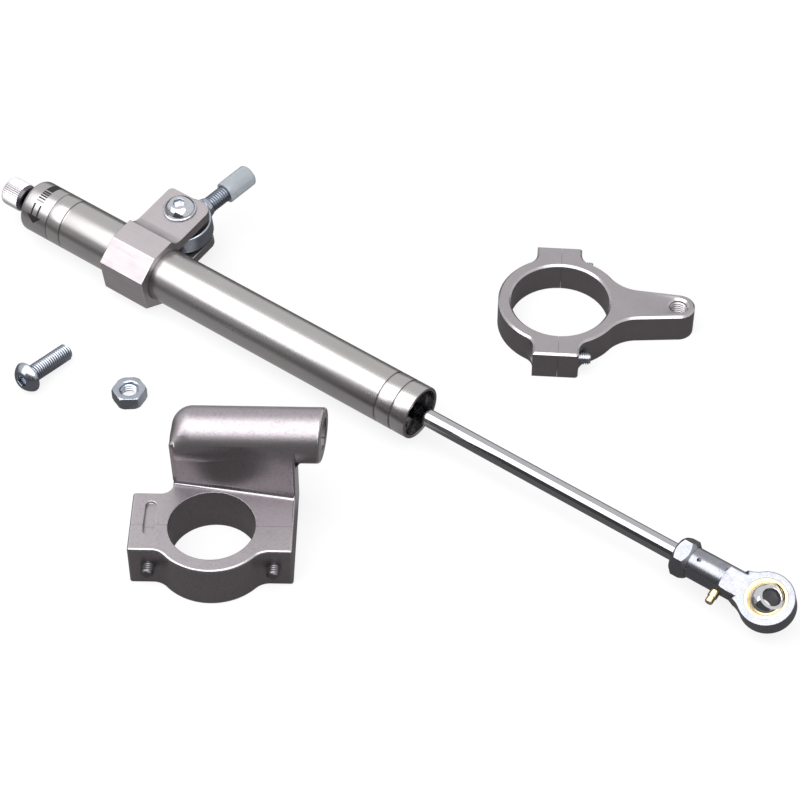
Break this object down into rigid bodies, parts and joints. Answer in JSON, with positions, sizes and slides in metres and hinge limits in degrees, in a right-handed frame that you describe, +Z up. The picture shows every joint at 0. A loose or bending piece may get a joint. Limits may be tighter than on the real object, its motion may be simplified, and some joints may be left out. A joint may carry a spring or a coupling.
{
  "type": "motorcycle steering damper kit",
  "caption": "Linear hydraulic steering damper with sliding rod, spherical rod end, adjuster knob and body clamp with stud joint, beside its fork clamp, frame bracket and spare fasteners.",
  "frame": {"origin": "centre of the ball in the rod end, on the damper's axis", "axes": "+X along the damper from the adjuster towards the rod end, +Y towards the body clamp's ears, +Z up from the surface that the kit lies on"},
  "size_m": [0.435, 0.2745, 0.0567],
  "materials": {
    "anodised_tube": "satin champagne anodising over brushed tube",
    "anodised_cap": "satin clear anodising with a black printed scale",
    "turned_knob": "bright knurled and clear anodised",
    "milled_clamp": "satin clear anodising over milled faces",
    "machined": "turned, bare",
    "fork_clamp": "milled and tumbled, bright deburred edges",
    "blasted_casting": "shot-blasted casting, bright deburred edges",
    "hard_chrome": "ground and hard chromed, polished",
    "bearing_steel": "polished bearing steel",
    "zinc_plate": "bluish bright zinc plating",
    "bright_screw": "bright chromed button head",
    "stainless": "stainless, as turned",
    "spring_steel": "oiled spring steel",
    "brass": "turned brass",
    "bronze": "sintered bronze",
    "nitrile": "black nitrile rubber",
    "filled_ptfe": "bronze-filled PTFE",
    "vinyl": "grey-blue translucent vinyl"
  },
  "bodies": {
    "damper_tube_and_kit": {"outer_tube": "anodised_tube", "end_cap": "anodised_cap", "end_cap_oring": "nitrile", "spindle_clip": "spring_steel", "valve_block": "machined", "inner_tube": "machined", "head_gland": "machined", "gland_oring": "nitrile", "guide_bush": "bronze", "rod_seal": "nitrile", "rod_wiper": "nitrile", "snap_ring": "spring_steel", "body_clamp": "milled_clamp", "pivot_screw": "bright_screw", "pivot_washers": "zinc_plate", "fork_clamp_arm": "fork_clamp", "fork_clamp_cap": "fork_clamp", "fork_clamp_screws": "bright_screw", "bracket_body": "blasted_casting", "bracket_cap": "blasted_casting", "bracket_screws": "bright_screw", "loose_screw": "zinc_plate", "loose_nut": "zinc_plate"},
    "adjuster": {"adjuster_knob": "turned_knob", "knob_screw": "stainless", "adjuster_spindle": "stainless", "spindle_oring": "nitrile"},
    "needle": {"adjuster_needle": "stainless"},
    "piston_band": {"piston_ring": "filled_ptfe"},
    "rod": {"piston_rod": "hard_chrome", "piston": "machined", "valve_shims": "spring_steel", "piston_nut": "zinc_plate", "rebound_bumper": "nitrile", "rod_end_body": "zinc_plate", "rod_end_race": "brass", "grease_nipple": "brass"},
    "rod_ball": {"rod_end_ball": "bearing_steel"},
    "pivot_ball": {"stud_ball": "bearing_steel"},
    "stud": {"stud_rod_end": "zinc_plate", "stud_race": "brass"},
    "sleeve": {"thread_protector": "vinyl"}
  },
  "joints": [
    {"name": "rod_slide", "type": "slide", "parent": "damper_tube_and_kit", "child": "piston_band", "axis": [1, 0, 0], "range_m": [-0.12, 0]},
    {"name": "rod_turn", "type": "hinge", "parent": "piston_band", "child": "rod", "pos_m": [0, 0, 0], "axis": [1, 0, 0], "continuous": true},
    {"name": "rod_ball_tilt", "type": "hinge", "parent": "rod", "child": "rod_ball", "pos_m": [0, 0, 0], "axis": [-0.6428, 0.7198, 0.262], "range_deg": [-54, 0]},
    {"name": "stud_swivel", "type": "hinge", "parent": "damper_tube_and_kit", "child": "pivot_ball", "pos_m": [-0.3376, 0.02779, 0.00341], "axis": [0, -0.1219, 0.9925], "range_deg": [-80, 80]},
    {"name": "stud_tilt", "type": "hinge", "parent": "pivot_ball", "child": "stud", "pos_m": [-0.3376, 0.02779, 0.00341], "axis": [0.9903, -0.1381, -0.017], "range_deg": [-5, 5]},
    {"name": "sleeve_pull", "type": "slide", "parent": "stud", "child": "sleeve", "axis": [0.1392, 0.9829, 0.1207], "range_m": [0, 0.02]},
    {"name": "knob_turn", "type": "hinge", "parent": "damper_tube_and_kit", "child": "adjuster", "pos_m": [-0.4052, 0, 0], "axis": [1, 0, 0], "range_deg": [-360, 720]},
    {"name": "needle_slide", "type": "slide", "parent": "damper_tube_and_kit", "child": "needle", "axis": [1, 0, 0], "range_m": [-0.00101, 0.00201]}
  ],
  "couplings": [
    {"joint": "needle_slide", "follows": "knob_turn", "m_per_rad": 0.00015915}
  ]
}
